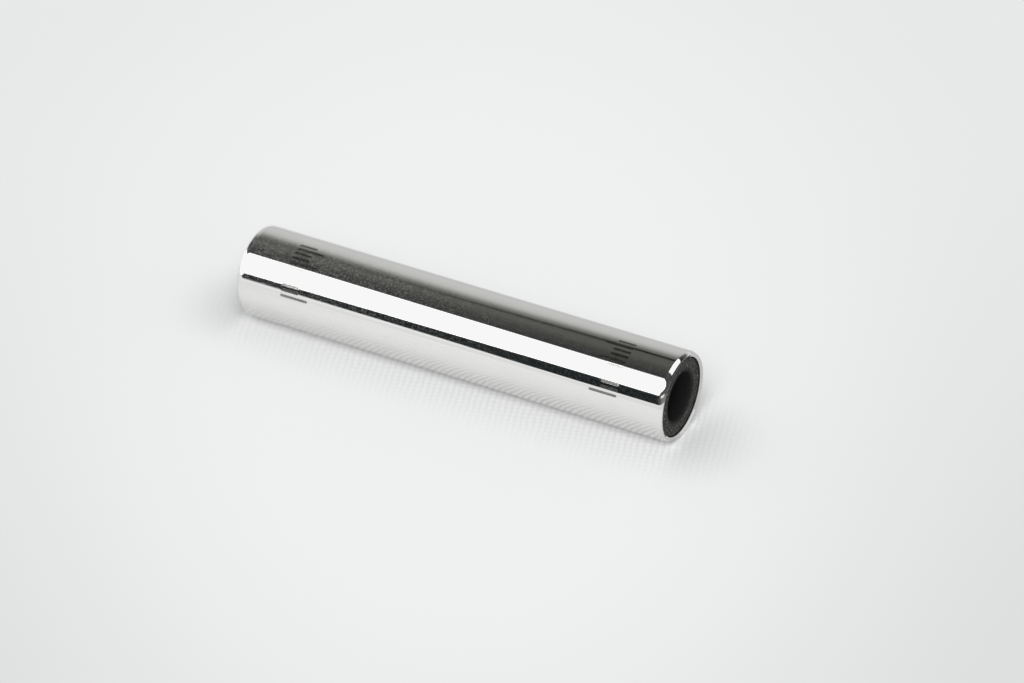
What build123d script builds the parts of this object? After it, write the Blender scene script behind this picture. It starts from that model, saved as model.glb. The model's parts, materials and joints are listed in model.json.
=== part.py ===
from build123d import *
import os

# ---------------------------------------------------------------------------
# Tubular tone bar (hand-held guitar slide): a polished, chrome-plated tube
# with a charcoal damping liner pressed in from one end to the other.
#
# Millimetres. The tube's axis is X, +Z is up, and the origin is the middle of
# the tube on its axis. Both ends are alike.
# ---------------------------------------------------------------------------

# Outer tube
tube_od = 16.0  # outside diameter, the playing surface
tube_id = 14.2  # inside diameter, the liner's seat
tube_length = 82.2  # over both rims, before the lips are broken
rim_length = 1.10  # how far the rolled-over shoulder runs along the tube
rim_drop = 0.40  # how far the shoulder comes in before it meets the lip
lip_bevel_depth = 0.29  # along X, from the lip to the inside diameter
lip_break = 0.05  # radius that takes the sharpness off the lip

# Liner
liner_od = tube_id  # seats line to line in the tube
liner_bore = 8.8  # through bore
liner_recess = 0.50  # each liner face stands this far inside the tube's end
liner_outer_chamfer = 0.18  # leaves a fine shadow groove round the face
liner_mouth_round = 0.45  # softened edge where the bore opens

os.makedirs("parts", exist_ok=True)


def circles_of_radius(builder, radius):
    """The builder's circular edges of the given radius, at both ends."""
    circles = builder.edges().filter_by(GeomType.CIRCLE)
    return circles.filter_by(lambda edge: abs(edge.radius - radius) < 1e-6)


def export_piece(piece, name):
    piece.label = name
    export_step(piece, f"parts/{name}.step")


def make_outer_tube():
    """Turn the wall's section, drawn in the XZ plane, about X.

    At each end the barrel rolls over into a shoulder, which stops at a lip;
    from the lip a bevel runs inwards to the bore.
    """
    barrel_r = tube_od / 2
    lip_r = barrel_r - rim_drop
    seat_r = tube_id / 2

    # Distances from the middle of the tube
    lip_x = tube_length / 2
    barrel_x = lip_x - rim_length
    seat_x = lip_x - lip_bevel_depth

    with BuildPart() as outer_tube:
        with BuildSketch(Plane.XZ):
            with BuildLine():
                Line((-barrel_x, barrel_r), (barrel_x, barrel_r))
                TangentArc((barrel_x, barrel_r), (lip_x, lip_r), tangent=(1, 0))
                Line((lip_x, lip_r), (seat_x, seat_r))
                Line((seat_x, seat_r), (-seat_x, seat_r))
                Line((-seat_x, seat_r), (-lip_x, lip_r))
                TangentArc((-barrel_x, barrel_r), (-lip_x, lip_r), tangent=(-1, 0))
            make_face()
        revolve(axis=Axis.X)
        fillet(circles_of_radius(outer_tube, lip_r), radius=lip_break)
    return outer_tube.part


def make_liner():
    """One sleeve through the whole tube, chamfered outside, rounded at the bore."""
    liner_length = tube_length - 2 * liner_recess
    outer_r = liner_od / 2
    bore_r = liner_bore / 2

    with BuildPart() as liner:
        with BuildSketch(Plane.YZ.offset(-liner_length / 2)):
            Circle(outer_r)
            Circle(bore_r, mode=Mode.SUBTRACT)
        extrude(amount=liner_length)
        chamfer(circles_of_radius(liner, outer_r), length=liner_outer_chamfer)
        fillet(circles_of_radius(liner, bore_r), radius=liner_mouth_round)
    return liner.part


export_piece(make_outer_tube(), "outer_tube")
export_piece(make_liner(), "liner")
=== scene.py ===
# A polished chrome tube with a charcoal liner sleeve inside, centred on the origin with its
# axis along X. It rests on a pale cloth floor. The viewer is on the -Y side, turned towards +X.
import json
import math

import bpy
import numpy as np
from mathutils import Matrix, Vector, noise


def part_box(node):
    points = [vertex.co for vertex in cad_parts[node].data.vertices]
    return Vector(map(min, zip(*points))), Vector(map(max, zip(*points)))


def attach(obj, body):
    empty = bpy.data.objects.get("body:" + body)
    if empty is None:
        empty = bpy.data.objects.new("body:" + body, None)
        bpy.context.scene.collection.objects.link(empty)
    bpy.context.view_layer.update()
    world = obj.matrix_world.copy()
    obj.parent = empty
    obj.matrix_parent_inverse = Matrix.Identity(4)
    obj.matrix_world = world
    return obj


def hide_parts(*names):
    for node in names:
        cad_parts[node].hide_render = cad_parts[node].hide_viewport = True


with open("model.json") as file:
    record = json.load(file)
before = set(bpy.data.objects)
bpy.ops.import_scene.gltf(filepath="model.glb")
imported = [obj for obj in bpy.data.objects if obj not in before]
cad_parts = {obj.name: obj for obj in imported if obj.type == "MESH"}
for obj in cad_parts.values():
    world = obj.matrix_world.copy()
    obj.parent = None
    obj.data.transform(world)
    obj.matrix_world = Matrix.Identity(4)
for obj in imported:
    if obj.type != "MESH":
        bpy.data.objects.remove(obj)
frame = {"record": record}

MM = 0.001
DEGREES = 180.0 / math.pi          # degrees in a radian
scene = bpy.context.scene

# ---------------------------------------------------------------------------
# Sizes in metres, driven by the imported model
# ---------------------------------------------------------------------------
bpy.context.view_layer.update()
_, tube_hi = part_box("outer_tube")
_, liner_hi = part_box("liner")
mounts = {mount["name"]: mount for mount in frame["record"]["mounts"]}

TUBE_R = tube_hi.z                 # tube outside radius
LINER_R = liner_hi.z               # liner outside radius = tube inside radius
LINER_HALF = liner_hi.x            # half the liner's length
BORE_R = mounts["bore"]["dims"]["r_mm"] * MM
HALF = LINER_HALF + 0.50 * MM      # half the tube's length, to the lip before it is broken
FLOOR_Z = -TUBE_R

SHOULDER = 1.10 * MM               # how far the rolled shoulder runs along the tube
DROP = 0.40 * MM                   # how far it comes in before the lip
BEVEL = 0.29 * MM                  # depth of the bevel from the lip to the inside wall
LIP_BREAK = 0.03 * MM              # the lip's own small radius
CORNER_GAP = 0.004 * MM            # spacing of the points that hold the bevel's inner corner

GROOVE = 0.18 * MM                 # liner's outer chamfer
MOUTH = 0.45 * MM                  # liner's bore mouth rounding
GRAIN_REACH = 3.4 * MM             # how far the cast grain runs in from each liner end
BORE_RINGS, BORE_RING_GAP = 21, 0.12 * MM   # fine rings that carry grain into the bore

TUBE_SEGMENTS, LINER_SEGMENTS = 360, 440


# ---------------------------------------------------------------------------
# Shader graph helpers
# ---------------------------------------------------------------------------
class Value:
    """An output socket; arithmetic and comparison on it add Math nodes."""

    def __init__(self, graph, socket):
        self.graph = graph
        self.socket = socket

    def __add__(self, other):
        return self.graph.math("ADD", self, other)

    def __radd__(self, other):
        return self.graph.math("ADD", other, self)

    def __sub__(self, other):
        return self.graph.math("SUBTRACT", self, other)

    def __rsub__(self, other):
        return self.graph.math("SUBTRACT", other, self)

    def __mul__(self, other):
        return self.graph.math("MULTIPLY", self, other)

    def __truediv__(self, other):
        return self.graph.math("DIVIDE", self, other)

    def __lt__(self, other):
        return self.graph.math("LESS_THAN", self, other)

    def __gt__(self, other):
        return self.graph.math("GREATER_THAN", self, other)

    def __abs__(self):
        return self.graph.math("ABSOLUTE", self)

    def fade(self, start, end, first=0.0, last=1.0, smooth=True):
        """Go from first, where the value is start, to last, where it is end."""
        inputs = {"Value": self, "From Min": start, "From Max": end,
                  "To Min": first, "To Max": last}
        kind = "SMOOTHSTEP" if smooth else "LINEAR"
        return self.graph.value("ShaderNodeMapRange", inputs, "Result",
                                interpolation_type=kind, clamp=True)

    def between(self, edge, other_edge):
        """1 between two soft edges, each given as (where it is 0, where it is 1)."""
        return self.fade(*edge) * self.fade(*other_edge)


class Graph:
    """A node tree, emptied and then built by calls."""

    def __init__(self, tree):
        self.tree = tree
        tree.nodes.clear()

    def node(self, kind, inputs=None, **props):
        """Add a node; inputs maps a socket's name or index to a number, colour or Value."""
        made = self.tree.nodes.new(kind)
        for name, setting in props.items():
            setattr(made, name, setting)
        for key, content in (inputs or {}).items():
            if isinstance(content, Value):
                self.tree.links.new(content.socket, made.inputs[key])
            else:
                made.inputs[key].default_value = content
        return made

    def value(self, kind, inputs=None, output=0, **props):
        return Value(self, self.node(kind, inputs, **props).outputs[output])

    def math(self, operation, *operands):
        return self.value("ShaderNodeMath", dict(enumerate(operands)), operation=operation)

    def highest(self, one, other):
        return self.math("MAXIMUM", one, other)

    def length(self, one, other):
        return self.math("SQRT", one * one + other * other)

    def mix(self, share, at_0, at_1):
        return self.value("ShaderNodeMix", {0: share, 2: at_0, 3: at_1}, data_type="FLOAT")

    def mix_colour(self, share, at_0, at_1, blend="MIX"):
        return self.value("ShaderNodeMix", {0: share, 6: at_0, 7: at_1}, 2,
                          data_type="RGBA", blend_type=blend)

    def noise(self, vector, scale, detail=2.0, roughness=0.5):
        return self.value("ShaderNodeTexNoise", {"Vector": vector, "Scale": scale,
                                                 "Detail": detail, "Roughness": roughness})

    def cells(self, vector, scale):
        """Distance to the nearest cell point, and a random number for each cell."""
        cell = self.node("ShaderNodeTexVoronoi", {"Vector": vector, "Scale": scale})
        position = Value(self, cell.outputs["Position"])
        chance = self.value("ShaderNodeTexWhiteNoise", {"Vector": position}, "Value")
        return Value(self, cell.outputs["Distance"]), chance

    def curve(self, along, stops, span=None):
        """Piecewise-linear colour; stops are (position, RGBA), spread over span."""
        lo, hi = span or (stops[0][0], stops[-1][0])
        node = self.node("ShaderNodeValToRGB", {0: along.fade(lo, hi, smooth=False)})
        ramp = node.color_ramp
        ramp.interpolation = "LINEAR"
        while len(ramp.elements) > 1:
            ramp.elements.remove(ramp.elements[-1])
        for i, (position, colour) in enumerate(stops):
            place = (position - lo) / (hi - lo)
            element = ramp.elements[0] if i == 0 else ramp.elements.new(place)
            element.position = place
            element.color = colour
        return Value(self, node.outputs[0])

    def unit_curve(self, along, stops):
        """Piecewise-linear number; stops are (position, number from 0 to 1)."""
        return self.xyz(self.curve(along, [(p, grey(level)) for p, level in stops]))[0]

    def number_curve(self, along, stops):
        """Piecewise-linear number of any size, scaled to 0..1 for the colour ramp."""
        levels = [level for _, level in stops]
        lo, hi = min(levels), max(levels)
        unit = self.unit_curve(along, [(p, (level - lo) / (hi - lo)) for p, level in stops])
        return self.math("MULTIPLY_ADD", unit, hi - lo, lo)

    def xyz(self, vector):
        node = self.node("ShaderNodeSeparateXYZ", {0: vector})
        return [Value(self, node.outputs[i]) for i in range(3)]

    def vector(self, x, y, z):
        return self.value("ShaderNodeCombineXYZ", {0: x, 1: y, 2: z})

    def grey(self, level):
        return self.vector(level, level, level)

    def in_mm(self, vector):
        return self.value("ShaderNodeVectorMath", {0: vector, "Scale": 1000.0},
                          operation="SCALE")

    def bump(self, height, strength=1.0):
        """Surface normal from a height in metres."""
        return self.value("ShaderNodeBump", {"Strength": strength, "Distance": 1.0,
                                             "Height": height})


def grey(level):
    return (level, level, level, 1.0)


def new_material(name):
    material = bpy.data.materials.new(name)
    material.use_nodes = True
    return material, Graph(material.node_tree)


# ---------------------------------------------------------------------------
# Profiles: points (x, radius, normal x, normal radius), revolved about X
# ---------------------------------------------------------------------------
def unit(degrees):
    """Unit vector (x, radius) at an angle from +X towards increasing radius."""
    angle = math.radians(degrees)
    return math.cos(angle), math.sin(angle)


def arc(centre, radius, start_deg, end_deg, steps):
    """Points on a profile arc, both ends included."""
    points = []
    for i in range(steps + 1):
        nx, nr = unit(start_deg + (end_deg - start_deg) * i / steps)
        points.append((centre[0] + radius * nx, centre[1] + radius * nr, nx, nr))
    return points


def straight(start, end, normal, steps):
    """Points between start and end, both ends left out."""
    (x0, r0), (x1, r1) = start, end
    return [(x0 + (x1 - x0) * i / steps, r0 + (r1 - r0) * i / steps, *normal)
            for i in range(1, steps)]


def mirrored(profile):
    """The same profile at the -X end, in reverse order."""
    return [(-x, r, -nx, nr) for x, r, nx, nr in reversed(profile)]


def revolve(name, loop, segments, displace=None):
    """Revolve a closed profile about X into quads, with exact normals unless displaced."""
    count = len(loop)
    profile = np.array(loop, float)
    turn = np.linspace(0.0, 2 * math.pi, segments, endpoint=False)
    cos, sin = np.cos(turn)[:, None], np.sin(turn)[:, None]

    def spun(along, out):
        return np.stack([np.repeat(along[None, :], segments, 0), out * cos, out * sin],
                        2).reshape(-1, 3)

    points = spun(profile[:, 0], profile[None, :, 1])
    normals = spun(profile[:, 2], profile[None, :, 3])
    if displace is not None:
        points = points + normals * displace(points)[:, None]
    i = np.arange(segments)[:, None]
    j = np.arange(count)[None, :]
    next_i, next_j = (i + 1) % segments, (j + 1) % count
    faces = np.stack([i * count + j, i * count + next_j,
                      next_i * count + next_j, next_i * count + j], 2).reshape(-1, 4)
    mesh = bpy.data.meshes.new(name)
    mesh.from_pydata(points.tolist(), [], faces.tolist())
    mesh.update()
    face = mesh.polygons[0]
    if Vector(face.normal).dot(Vector(normals[face.vertices[0]])) < 0:
        mesh.flip_normals()
    mesh.polygons.foreach_set("use_smooth", [True] * len(mesh.polygons))
    if displace is None:
        mesh.normals_split_custom_set_from_vertices([tuple(normal) for normal in normals])
    return link_object(name, mesh)


def link_object(name, data):
    made = bpy.data.objects.new(name, data)
    scene.collection.objects.link(made)
    return made


# ---------------------------------------------------------------------------
# Outer tube: barrel, rolled shoulder, broken lip, inward bevel, inner wall
# ---------------------------------------------------------------------------
def rim_profile():
    """From the barrel over the +X end to the inner wall."""
    shoulder_r = (SHOULDER ** 2 + DROP ** 2) / (2 * DROP)
    sharp_deg = math.degrees(math.acos(SHOULDER / shoulder_r))   # shoulder at the sharp lip
    bevel_deg = math.degrees(math.atan2(-BEVEL, TUBE_R - DROP - LINER_R))
    shoulder_n, bevel_n = unit(sharp_deg), unit(bevel_deg)
    # the small arc that breaks the lip touches both the shoulder and the bevel
    inset = LIP_BREAK / (1 + shoulder_n[0] * bevel_n[0] + shoulder_n[1] * bevel_n[1])
    lip_centre = (HALF - inset * (shoulder_n[0] + bevel_n[0]),
                  TUBE_R - DROP - inset * (shoulder_n[1] + bevel_n[1]))
    half_turn = math.radians(sharp_deg - bevel_deg) / 2
    end_deg = sharp_deg + math.degrees(LIP_BREAK * math.tan(half_turn) / shoulder_r)

    points = arc((HALF - SHOULDER, TUBE_R - shoulder_r), shoulder_r, 90, end_deg, 26)
    points += arc(lip_centre, LIP_BREAK, end_deg, bevel_deg, 12)[1:]
    corner_x = HALF - BEVEL
    points += straight(points[-1][:2], (corner_x, LINER_R), bevel_n, 5)
    points += [(corner_x + CORNER_GAP * 0.3, LINER_R + CORNER_GAP * 0.5, *bevel_n),
               (corner_x - CORNER_GAP, LINER_R, 0, -1)]
    return points


def build_tube():
    near_rim = rim_profile()
    wall_x = HALF - BEVEL - CORNER_GAP
    barrel_x = HALF - SHOULDER
    profile = near_rim + straight((wall_x, LINER_R), (-wall_x, LINER_R), (0, -1), 40)
    profile += mirrored(near_rim)
    profile += straight((-barrel_x, TUBE_R), (barrel_x, TUBE_R), (0, 1), 80)
    return revolve("outer_tube_polished", profile, TUBE_SEGMENTS)


# ---------------------------------------------------------------------------
# Liner: chamfered outer edges, rounded bore mouths, grain raised on the faces
# ---------------------------------------------------------------------------
def grain(points):
    """Cast grain on the end faces and bore mouths, none on the seated outside."""
    coarse, fine = 2.6, 5.7                     # noise scales, per mm
    coarse_height, fine_height, sink = 0.020, 0.016, 0.012 * MM
    fine_offset = Vector((9.1, 3.3, 5.2))
    noise.seed_set(7)
    heights = np.zeros(len(points))
    radii = np.hypot(points[:, 1], points[:, 2])
    for i, (x, y, z) in enumerate(points):
        if abs(x) < LINER_HALF - GRAIN_REACH or radii[i] > LINER_R - 0.05 * MM:
            continue
        place = Vector((x, y, z)) / MM
        lumps = noise.noise(place * coarse)
        pits = noise.noise(place * fine + fine_offset)
        heights[i] = (coarse_height * lumps + fine_height * pits) * MM - sink
    return heights


def build_liner():
    chamfer = (LINER_HALF - GROOVE, LINER_R)
    face_outer = (LINER_HALF, LINER_R - GROOVE)
    face_inner = (LINER_HALF, BORE_R + MOUTH)
    slope = (math.sqrt(0.5), math.sqrt(0.5))
    near_end = [(*chamfer, *slope)]
    near_end += straight(chamfer, face_outer, slope, 3)
    near_end += [(*face_outer, 0.92, 0.38)]
    near_end += straight(face_outer, face_inner, (1, 0), 18)
    near_end += arc((LINER_HALF - MOUTH, BORE_R + MOUTH), MOUTH, 0, -90, 7)
    near_end += [(LINER_HALF - MOUTH - BORE_RING_GAP * i, BORE_R, 0, -1)
                 for i in range(1, BORE_RINGS + 1)]
    bore_x = near_end[-1][0]
    profile = near_end + straight((bore_x, BORE_R), (-bore_x, BORE_R), (0, -1), 16)
    profile += mirrored(near_end)
    profile += straight((-chamfer[0], LINER_R), chamfer, (0, 1), 12)
    return revolve("liner_sleeve", profile, LINER_SEGMENTS, displace=grain)


tube = build_tube()
liner = build_liner()

# ---------------------------------------------------------------------------
# Chrome (lengths in mm, angles in degrees)
# ---------------------------------------------------------------------------
METAL = (0.878, 0.876, 0.862, 1.0)
SMUDGED_METAL = (0.862, 0.860, 0.846, 1.0)
ETCH_DARK, ETCH_PALE = (0.15, 0.148, 0.14, 1.0), (0.26, 0.255, 0.24, 1.0)
DUST = (0.75, 0.75, 0.73, 1.0)
SCALE_INSET = 8.9                  # from the tube's end to the inner end of the ticks' base
TICK_WIDTH, TICK_SOFT = 0.46, 0.03
# etched ticks (angle from the top towards +Y, length), every third one long
TICKS = [(-74.5 + 7.2 * i, 4.8 if i % 3 == 0 else 2.9) for i in range(11)]


def etched_scale(graph, x_mm, turn_deg, end):
    """A graduated scale of ticks that run inboard from near the end: end is -1 or 1."""
    mm_per_degree = math.radians(1) * TUBE_R / MM
    base_x = end * (HALF / MM - SCALE_INSET)
    scale = None
    for angle, length in TICKS:
        across = (turn_deg - angle) * mm_per_degree
        along = x_mm - (base_x - end * length / 2)
        beyond = graph.highest(abs(along) - length / 2, 0.0)
        tick = graph.length(beyond, across).fade(start=TICK_WIDTH / 2 + TICK_SOFT,
                                                 end=TICK_WIDTH / 2 - TICK_SOFT)
        scale = tick if scale is None else graph.highest(scale, tick)
    return scale


def specks(graph, place, per_mm, smallest, largest, share):
    """Round specks in a share of the cells; smallest and largest are radii."""
    distance, chance = graph.cells(place, per_mm)
    chosen = chance < share
    size = graph.mix(chance / share, smallest, largest)
    soft = 0.012 * per_mm
    return (distance - size * per_mm).fade(start=soft, end=-soft) * chosen


def chrome_material():
    material, graph = new_material("polished_chrome")
    position = graph.value("ShaderNodeTexCoord", output="Object")
    x, y, z = graph.xyz(position)
    x_mm = x * 1000.0
    turn = graph.math("ARCTAN2", y, z)
    turn_deg = turn * DEGREES
    arc_mm = turn * (TUBE_R / MM)
    place = graph.in_mm(position)

    # an etched scale near each end, on the outside only, a little broken up
    etch = graph.highest(etched_scale(graph, x_mm, turn_deg, -1),
                         etched_scale(graph, x_mm, turn_deg, 1))
    outside = graph.length(y, z).fade(start=TUBE_R - 0.2 * MM, end=TUBE_R - 0.05 * MM)
    etch = etch * outside
    broken = graph.noise(place, scale=6.0, detail=3.0, roughness=0.6).fade(start=0.30, end=0.46)
    etch = etch * graph.mix(0.35, 1.0, broken)

    # polishing hairlines: long thin streaks round the tube and a few along it
    round_place = graph.vector(x_mm * 9.0, arc_mm * 0.16, 0.0)
    round_streak = graph.noise(round_place, scale=1.0, detail=3.0, roughness=0.65)
    round_streak = round_streak.fade(start=0.62, end=0.76)
    long_place = graph.vector(x_mm * 0.10, arc_mm * 7.0, 3.7)
    long_streak = graph.noise(long_place, scale=1.0, detail=2.0, roughness=0.6)
    long_streak = long_streak.fade(start=0.66, end=0.78)
    smudge = graph.noise(place, scale=0.22, detail=3.0, roughness=0.55)
    smudge = smudge.fade(start=0.42, end=0.72)
    fine = graph.noise(place, scale=9.0)

    # dust: a few pale specks, and clusters of very fine ones
    cluster = graph.noise(place, scale=0.16).fade(start=0.50, end=0.62)
    few = specks(graph, place, per_mm=0.35, smallest=0.03, largest=0.09, share=0.5)
    many = specks(graph, place, per_mm=1.3, smallest=0.02, largest=0.055, share=0.35)
    dust = graph.highest(few, many * cluster)

    # roughness: a polished base plus what each mark adds; etching and dust replace it
    rough = 0.018 + round_streak * 0.026 + long_streak * 0.030 + smudge * 0.018
    rough = graph.mix(etch, rough, 0.12 + fine * 0.10)
    rough = graph.mix(dust, rough, 0.8)

    # a breath of haze that takes away metal, mottled, thicker towards -X
    mottle = graph.noise(place, scale=0.85, detail=5.0, roughness=0.62)
    mottle = mottle.fade(start=0.42, end=0.74)
    sand = graph.noise(place, scale=3.3, detail=3.0, roughness=0.62).fade(start=0.47, end=0.68)
    haze = 0.001 + (mottle * 0.012 + sand * 0.075)
    haze = haze * x_mm.fade(start=30.0, end=-40.0, first=0.40, last=1.9)

    colour = graph.mix_colour(smudge, METAL, SMUDGED_METAL)
    colour = graph.mix_colour(etch, colour, graph.mix_colour(fine, ETCH_DARK, ETCH_PALE))
    colour = graph.mix_colour(dust, colour, DUST)
    metallic = graph.mix(dust, 1.0, 0.2) - haze

    # heights in metres: a slow wave, cut hairlines, rough etching, raised dust
    height = graph.noise(place, scale=0.11, detail=1.0, roughness=0.4) * 9.0e-6
    height = height + round_streak * -2.0e-8
    height = height + etch * fine * -6.0e-6
    height = height + dust * 1.5e-5
    surface = graph.value("ShaderNodeBsdfPrincipled", {
        "Base Color": colour, "Metallic": metallic, "Roughness": rough,
        "Normal": graph.bump(height)})
    graph.node("ShaderNodeOutputMaterial", {0: surface})
    return material


# ---------------------------------------------------------------------------
# Charcoal liner
# ---------------------------------------------------------------------------
# (noise tone, colour), spread over LINER_TONE_SPAN
LINER_TONES = [(0.36, (0.007, 0.007, 0.0067, 1.0)), (0.45, (0.018, 0.018, 0.017, 1.0)),
               (0.53, (0.040, 0.0395, 0.037, 1.0)), (0.62, (0.15, 0.147, 0.138, 1.0))]
LINER_TONE_SPAN = (0.25, 0.75)
FLECK = (0.30, 0.295, 0.275, 1.0)
# painted shade: the colour the bore darkens to, standing in for the shade inside it
BORE_PAINTED_SHADE = (0.0118, 0.0118, 0.0115, 1.0)
# painted shade: colour for the groove at the liner's outer chamfer, next to the tube wall
RIM_PAINTED_SHADE = (0.010, 0.010, 0.0095, 1.0)


def liner_material():
    material, graph = new_material("charcoal_liner")
    position = graph.value("ShaderNodeTexCoord", output="Object")
    place = graph.in_mm(position)
    coarse = graph.noise(place, scale=3.2, detail=4.0, roughness=0.62)
    fine = graph.noise(place, scale=8.5, detail=2.0, roughness=0.6)
    distance, chance = graph.cells(place, scale=2.1)
    fleck = distance.fade(start=0.30, end=0.15) * chance.fade(start=0.64, end=0.70)
    tone = coarse * 0.65 + fine * 0.35

    # pale flecks on the grain; painted shade, plain dark, in the bore and at the outer chamfer
    colour = graph.curve(tone, LINER_TONES, LINER_TONE_SPAN)
    colour = graph.mix_colour(fleck, colour, FLECK)
    _, y, z = graph.xyz(position)
    radius = graph.length(y, z)
    in_bore = radius.fade(start=BORE_R + 0.95 * MM, end=BORE_R + 0.15 * MM)
    colour = graph.mix_colour(in_bore, colour, BORE_PAINTED_SHADE)
    at_rim = radius.fade(start=LINER_R - 0.30 * MM, end=LINER_R - 0.16 * MM)
    colour = graph.mix_colour(at_rim, colour, RIM_PAINTED_SHADE)
    height = coarse * 5.0e-5 + fine * 2.4e-5    # metres
    surface = graph.value("ShaderNodeBsdfPrincipled", {
        "Base Color": colour,
        "Roughness": tone.fade(start=0.3, end=0.7, first=0.92, last=0.66),
        "Specular IOR Level": 0.35,
        "Normal": graph.bump(height)})
    graph.node("ShaderNodeOutputMaterial", {0: surface})
    return material


tube.data.materials.append(chrome_material())
liner.data.materials.append(liner_material())
for piece, node, slot in ((tube, "outer_tube", "chrome_tube"),
                          (liner, "liner", "liner_rubber")):
    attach(piece, "root")
    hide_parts(node)

# ---------------------------------------------------------------------------
# Stage: pale cloth floor (lengths in mm in the material)
# ---------------------------------------------------------------------------
CAM_AZ, CAM_EL = 27.90, 34.80      # degrees, also turns the floor's falloff to the viewer
FLOOR = (0.857, 0.861, 0.865, 1.0)
FLOOR_HALF = 12.0                  # metres
WEAVE_TURN = 17.6                  # degrees from X
THREAD_X, THREAD_Y = 1.09, 1.15    # thread spacing across the warp and the weft
# painted reflection shade: cloth brightness as the metal reflects it (y, level)
MIRROR = [(-60, 1.0), (-28, 0.985), (-21, 0.985), (-16, 0.98), (-13, 0.95), (-10, 0.87),
          (-6, 0.78), (-2, 0.77), (4, 0.72), (30, 0.68), (40, 0.68)]
# painted light: glow given to the cloth beside the tube, lightening its contact shade (distance
# from the axis line, level)
UNDER = [(0, 0.06), (2.8, 0.07), (3.4, 0.10), (4.2, 0.065), (5.06, 0.025), (5.9, 0.0),
         (8, 0.0)]


def turned_mm(x, y, degrees):
    """Floor position in mm along axes turned by an angle from X and Y."""
    cos, sin = unit(degrees)
    return (x * cos + y * sin) * 1000, (x * -sin + y * cos) * 1000


def cloth_weave(graph, x, y):
    """Height of the crossed threads, from 0 to 1."""
    along, across = turned_mm(x, y, WEAVE_TURN)
    wobble = graph.noise(graph.vector(along, across, 0.0), scale=0.30)
    warp_phase = (along + wobble * 0.8) * (math.pi / THREAD_X)
    weft_phase = (across + wobble * 0.6) * (math.pi / THREAD_Y)
    warp = abs(graph.math("SINE", warp_phase))
    weft = abs(graph.math("SINE", weft_phase))
    weave = warp * (0.45 + weft * 0.55)
    thread = graph.noise(graph.vector(along, across, 0.0), scale=1.7, detail=3.0, roughness=0.6)
    return weave * thread.fade(start=0.25, end=0.6, first=0.55, last=1.0)


def floor_material():
    material, graph = new_material("pale_floor")
    x, y, _ = graph.xyz(graph.value("ShaderNodeNewGeometry", output="Position"))
    view_x, view_y = turned_mm(x, y, CAM_AZ)
    past_end = graph.highest(abs(x * 1000) - HALF / MM, 0.0)
    y_mm = y * 1000
    away = graph.length(past_end, y_mm)
    path = graph.node("ShaderNodeLightPath")
    glossy = Value(graph, path.outputs["Is Glossy Ray"])
    mirror = glossy * (Value(graph, path.outputs["Diffuse Depth"]) < 0.5)

    # the weave only shows close to the tube, where the light skims it
    near = graph.highest(away.fade(start=17.0, end=4.0),
                         mirror * away.fade(start=30.0, end=5.0, first=0.0, last=0.75))
    weave = cloth_weave(graph, x, y)
    depth = graph.mix(mirror, 0.145, away.fade(start=14.0, end=8.0, first=0.21, last=0.45))
    depth = depth * (x * 1000).fade(start=-38.0, end=-8.0, first=0.55, last=1.0)
    depth = depth * past_end.fade(start=0.0, end=2.0, first=1.0, last=0.7)
    # painted contact shade near the tube: a mean darkening, lighter on the threads and darker
    # between them
    painted_near_shade = 0.087 + (0.42 - weave) * depth
    painted_near_shade = painted_near_shade * near * past_end.fade(start=0.0, end=2.0, first=1.0, last=0.7)

    # the light falls off gently away from the middle, a little more towards the viewer
    short_y = view_y * 0.571                    # foreshortened by the camera's tilt
    spread = graph.length(view_x, short_y)
    falloff = (spread.fade(start=30.0, end=106.0)
               * short_y.fade(start=-50.0, end=45.0, first=0.160, last=0.075))
    # painted shade on the cloth just past each end of the tube, a little stronger at the -X end
    end_shade = x.fade(start=-0.01, end=0.01, first=0.080, last=0.055)
    painted_end_shade = (past_end.fade(start=0.0, end=2.5)
            * away.fade(start=15.0, end=3.0, first=0.0, last=end_shade))
    level = 1.0 - (falloff + painted_end_shade) - painted_near_shade

    # painted reflection shade: as the metal reflects it, the cloth is painted darker close by
    # and behind, and a little lighter far in front towards -X
    painted_reflected_shade = graph.unit_curve(y_mm, MIRROR)
    painted_reflected_light = (y_mm.fade(start=-45.0, end=-70.0)
            * (x * 1000).fade(start=5.0, end=-25.0, first=0.0, last=0.085))
    level = level * graph.mix(mirror, 1.0, painted_reflected_shade + painted_reflected_light)
    colour = graph.mix_colour(1.0, FLOOR, graph.grey(level), "MULTIPLY")

    # painted light: an emitted glow on the cloth beside the tube, standing in for light that
    # comes through the cloth
    under = graph.unit_curve(abs(y_mm), UNDER) * past_end.fade(start=2.5, end=0.0) * level
    glow = graph.value("ShaderNodeEmission", {"Color": graph.grey(under)})
    normal = graph.bump(weave * 3.0e-5, strength=near * 0.8)
    cloth = graph.value("ShaderNodeBsdfDiffuse",
                        {"Color": colour, "Roughness": 0.0, "Normal": normal})
    both = graph.value("ShaderNodeAddShader", {0: cloth, 1: glow})
    graph.node("ShaderNodeOutputMaterial", {0: both})
    return material


def build_floor():
    mesh = bpy.data.meshes.new("floor")
    corners = ((-1, -1), (1, -1), (1, 1), (-1, 1))
    mesh.from_pydata([(x * FLOOR_HALF, y * FLOOR_HALF, FLOOR_Z) for x, y in corners],
                     [], [(0, 1, 2, 3)])
    floor = link_object("floor", mesh)
    mesh.materials.append(floor_material())


build_floor()


# ---------------------------------------------------------------------------
# Soft key light
# ---------------------------------------------------------------------------
SUN, SUN_ANGLE = 1.93, 36.0        # strength, and apparent size in degrees
SUN_AZ, SUN_EL = 20.0, 48.0


def direction(azimuth, elevation):
    """Azimuth from -Y (the viewer's side) towards +X, elevation above the floor, in degrees."""
    az, el = math.radians(azimuth), math.radians(elevation)
    return Vector((math.sin(az) * math.cos(el), -math.cos(az) * math.cos(el), math.sin(el)))


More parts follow.
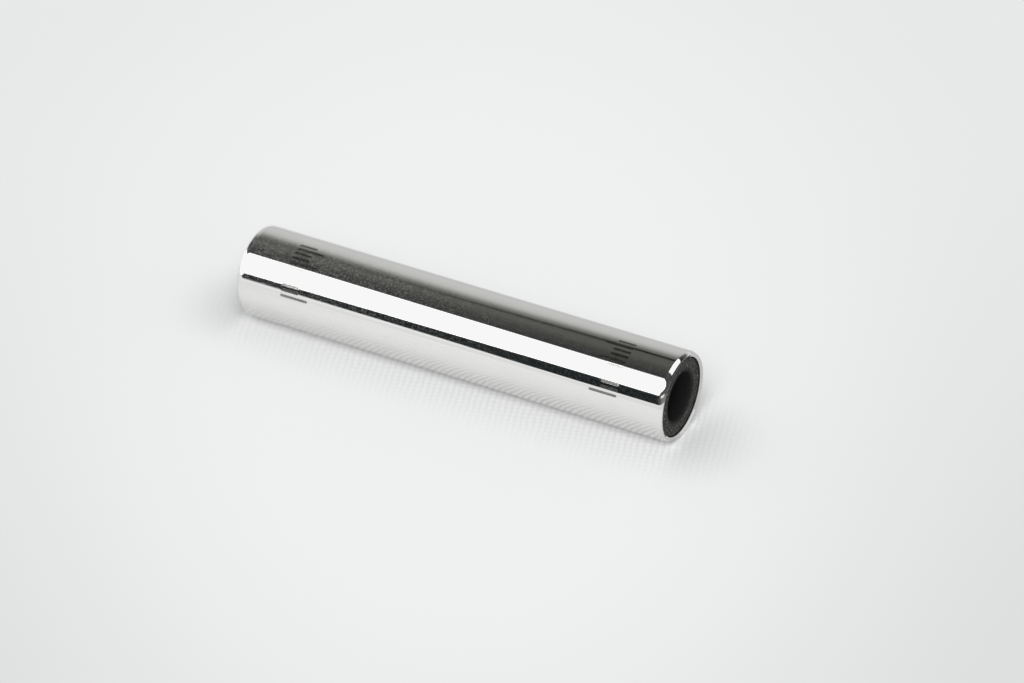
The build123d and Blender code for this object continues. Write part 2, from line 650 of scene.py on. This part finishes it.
def build_sun():
    data = bpy.data.lights.new("soft_key", "SUN")
    data.energy = SUN
    data.angle = math.radians(SUN_ANGLE)
    data.color = (1.0, 1.0, 1.0)
    sun = link_object("soft_key", data)
    sun.rotation_mode = "QUATERNION"
    sun.rotation_quaternion = direction(SUN_AZ, SUN_EL).to_track_quat("Z", "Y")
    sun.visible_glossy = False


build_sun()

# ---------------------------------------------------------------------------
# World: a dome for the cloth, and a room that only the polished metal sees.
# Angles are in degrees; x, y and z are parts of a unit direction.
# ---------------------------------------------------------------------------
DOME, BOUNCE = 0.56, 0.62          # light for diffuse rays, and for other rays after them
BACKDROP = (0.853, 0.855, 0.858, 1.0)
KEY, KEY_SOFT, KEY_RISE = 5.0, 1.25, 1.9   # level, edge half-width, climb inside the edge
KEY_SPLIT = -30                    # azimuth where the lower outline changes curve
OVER, SMALL = 1.5, 0.9             # levels of the overhead and the small low softbox
# key softbox, lower and upper outline (azimuth, elevation)
KEY_LOW = [(-114, 6), (-112, 0), (-66, 0), (-52, 3.5), (-40, 8), (-30, 13), (-26.5, 16.4),
           (-25.8, 18.3), (-25, 21.0), (-24.3, 22.8), (-23.5, 23.5), (-22.5, 25.0),
           (-21.5, 27.2), (-20, 30.2), (-17, 33.2), (-4, 36.5), (8, 39.5), (20, 43.5),
           (27, 49), (32, 56)]
KEY_TOP = [(-114, -6), (-112, 0), (-108, 7), (-100, 14), (-94, 20), (-85, 30), (-76, 38),
           (-66, 48), (-55, 59), (-50, 60.5), (-33, 61.5), (-14, 64), (0, 63), (12, 60.5),
           (20, 57.5), (27, 51), (32, 44)]
# room colour (angle round the tube from -Y over the top, display colour 0-255)
BAND = [(0, (26, 30, 31)), (50, (29, 33, 34)), (66, (38, 40, 40)), (72, (47, 47, 47)),
        (76, (50, 51, 51)), (82, (59, 59, 57)), (90, (62, 63, 59)), (98, (72, 72, 69)),
        (107, (82, 83, 79)), (114, (81, 81, 78)), (120, (80, 80, 77)),
        (126, (101, 101, 98)), (131, (122, 122, 119)), (136, (147, 147, 144)),
        (142, (168, 168, 165)), (148, (182, 182, 179)), (162, (189, 189, 187)),
        (180, (193, 193, 191)), (190, (193, 193, 191))]
# how far the band's rear part is turned on (x, angle)
SHIFT = [(-0.44, 2.5), (-0.42, 2.5), (-0.40, 0.0), (-0.385, 0.0), (-0.37, 7.0),
         (-0.34, 7.0)]
# dark line in the band: its place (x, angle) and its strength (x, share)
LINE_AT = [(-0.44, 116), (-0.42, 116), (-0.40, 117), (-0.39, 118), (-0.38, 121.5),
           (-0.37, 126), (-0.34, 126)]
LINE_DEPTH = [(-0.44, 0.0), (-0.42, 0.05), (-0.40, 0.2), (-0.39, 0.40), (-0.38, 0.70),
              (-0.37, 1.0), (-0.34, 1.0)]
LINE_TONE = (28, 28, 28)
# room level towards +X (elevation, level)
SIDE = [(0, 0.05), (5, 0.05), (15, 0.09), (25, 0.10), (35, 0.075), (50, 0.06), (65, 0.06),
        (80, 0.075), (90, 0.075)]
# top of the pale low wall (x, elevation)
EDGE = [(-0.5, 5.05), (-0.395, 5.05), (-0.38, 2.5), (-0.30, 2.5), (0.25, 5.0), (0.5, 5.0)]


def seen(display):
    """Room light that shows as this display colour (0-255) in the polished metal."""
    light = []
    for shown, metal in zip(display, METAL):
        part = shown / 255.0
        linear = part / 12.92 if part <= 0.04045 else ((part + 0.055) / 1.055) ** 2.4
        light.append(linear / metal)
    return (*light, 1.0)


def band_room(graph, x, around):
    """The room graded round the tube, with its dark line and a dark -X end."""
    shift = graph.number_curve(x, SHIFT)
    shifted = around - shift * around.fade(start=110, end=124)
    band = graph.curve(shifted, [(angle, seen(display)) for angle, display in BAND])
    line_at = graph.number_curve(x, LINE_AT)
    line_depth = graph.number_curve(x, LINE_DEPTH)
    dip = abs(around - line_at).fade(start=4.6, end=1.4) * line_depth
    band = graph.mix_colour(dip, band, seen(LINE_TONE))
    return graph.mix_colour(x.fade(start=-0.82, end=-0.66), grey(0.043), band)


def add_walls(graph, room, x, y, azimuth, elevation):
    """The darker +X side, the pale low wall, and two low patches."""
    behind = y.fade(start=-0.12, end=0.12)
    right = x.fade(start=graph.mix(behind, -0.32, -0.22), end=graph.mix(behind, -0.25, 0.08))
    side = graph.number_curve(elevation, SIDE)
    duller = azimuth.fade(start=74, end=84) * elevation.between((31, 37), (58, 52))
    side = side * graph.mix(duller, 1.0, 0.45)
    room = graph.mix_colour(right, room, graph.grey(side))

    edge = graph.number_curve(x, EDGE)
    edge = edge + (y.fade(start=0.0, end=0.1)
                   * x.fade(start=0.3, end=0.6, first=0.0, last=5.0))
    rear = (y > 0.0) * (x < -0.2)               # no wall here
    above = graph.highest((elevation - edge).fade(start=-0.32, end=0.32), rear)
    wall = x.fade(start=0.15, end=0.45, first=0.885, last=0.74)
    room = graph.mix_colour(above, graph.grey(wall), room)

    low_rear = (y.fade(start=0.05, end=0.25) * x.fade(start=-0.25, end=-0.05)
                * elevation.fade(start=24, end=8))
    room = graph.mix_colour(low_rear, room, grey(0.70))
    low_side = azimuth.between((10, 26), (75, 55)) * elevation.between((22, 18), (3.5, 5.5))
    return graph.mix_colour(low_side, room, grey(0.20))


def add_softboxes(graph, room, x, y, z, azimuth, elevation):
    # key, outlined in azimuth and elevation
    low_minus = graph.number_curve(azimuth, [stop for stop in KEY_LOW if stop[0] <= KEY_SPLIT])
    low_plus = graph.number_curve(azimuth, [stop for stop in KEY_LOW if stop[0] >= KEY_SPLIT])
    low = graph.mix(azimuth > KEY_SPLIT, low_minus, low_plus)
    top = graph.number_curve(azimuth, KEY_TOP)
    inside = graph.math("MINIMUM", elevation - low, top - elevation)
    key_edge = inside.fade(start=-KEY_SOFT, end=KEY_SOFT)
    key_core = inside.fade(start=KEY_SOFT, end=KEY_SOFT + KEY_RISE)
    room = graph.mix_colour(key_edge, room, grey(1.0))
    key_extra = key_core * (KEY - 1.0)

    # overhead and behind, a rectangle on a level ceiling
    rise = graph.highest(z, 0.05)
    ceiling_x, ceiling_y = x / rise, y / rise
    over = (ceiling_x.between((-0.22, -0.14), (0.71, 0.61))
            * ceiling_y.between((-0.10, -0.02), (0.95, 0.85)))
    over = over * z.fade(start=0.3, end=0.4)
    room = graph.mix_colour(over, room, grey(OVER))

    # small and low
    small = azimuth.between((-2, 12), (44, 36)) * elevation.between((20, 22), (28.5, 26.5))
    room = graph.mix_colour(small, room, grey(SMALL))
    return graph.mix_colour(1.0, room, graph.grey(key_extra), "ADD")


def build_world():
    world = bpy.data.worlds.new("studio")
    scene.world = world
    world.use_nodes = True
    world.cycles.sampling_method = "NONE"
    graph = Graph(world.node_tree)
    x, y, z = graph.xyz(graph.value("ShaderNodeTexCoord", output="Generated"))
    front = y * -1.0
    around = graph.math("ARCTAN2", z, front) * DEGREES
    azimuth = graph.math("ARCTAN2", x, front) * DEGREES
    elevation = graph.math("ARCSINE", z) * DEGREES

    room = band_room(graph, x, around)
    room = add_walls(graph, room, x, y, azimuth, elevation)
    room = add_softboxes(graph, room, x, y, z, azimuth, elevation)

    path = graph.node("ShaderNodeLightPath")
    later = Value(graph, path.outputs["Diffuse Depth"]) > 0.5
    diffuse = Value(graph, path.outputs["Is Diffuse Ray"])
    camera_ray = Value(graph, path.outputs["Is Camera Ray"])
    soft = graph.mix_colour(diffuse, grey(BOUNCE), grey(DOME))
    colour = graph.mix_colour(later, room, soft)
    colour = graph.mix_colour(camera_ray, colour, BACKDROP)
    background = graph.value("ShaderNodeBackground", {"Color": colour, "Strength": 1.0})
    graph.node("ShaderNodeOutputWorld", {0: background})


build_world()


# ---------------------------------------------------------------------------
# Camera
# ---------------------------------------------------------------------------
def build_camera():
    data = bpy.data.cameras.new("camera")
    camera = link_object("camera", data)
    scene.camera = camera
    camera.location = Vector((492.724, -914.532, 720.119)) * MM
    camera.rotation_mode = "QUATERNION"
    camera.rotation_quaternion = (-direction(CAM_AZ, CAM_EL)).to_track_quat("-Z", "Y")
    data.sensor_width = 36.0
    data.lens = 260.156
    data.clip_start, data.clip_end = 0.05, 30.0
    focus = link_object("focus_point", None)
    focus.location = (0.028, 0.0, 0.0)
    data.dof.use_dof = True
    data.dof.focus_object = focus
    data.dof.aperture_fstop = 14.0


build_camera()

# ---------------------------------------------------------------------------
# Render settings and colour
# ---------------------------------------------------------------------------
view = scene.view_settings
view.view_transform = "Standard"
view.look = "None"
view.exposure = 0.0
view.gamma = 1.0
cycles = scene.cycles
cycles.max_bounces = 10
cycles.glossy_bounces = 8
cycles.diffuse_bounces = 4
cycles.use_denoising = True
cycles.sample_clamp_indirect = 3.0
cycles.filter_width = 1.5
cycles.seed = 11

# a soft shoulder, so that the brightest highlight stops just short of full white
view.use_curve_mapping = True
mapping = view.curve_mapping
mapping.use_clip = False
mapping.extend = "HORIZONTAL"
tone_curve = mapping.curves[3]
tone_curve.points[0].location = (0.0, 0.0)
tone_curve.points[-1].location = (1.0, 0.93)
tone_curve.points.new(0.88, 0.88)
for point in tone_curve.points:
    point.handle_type = "VECTOR"
mapping.update()
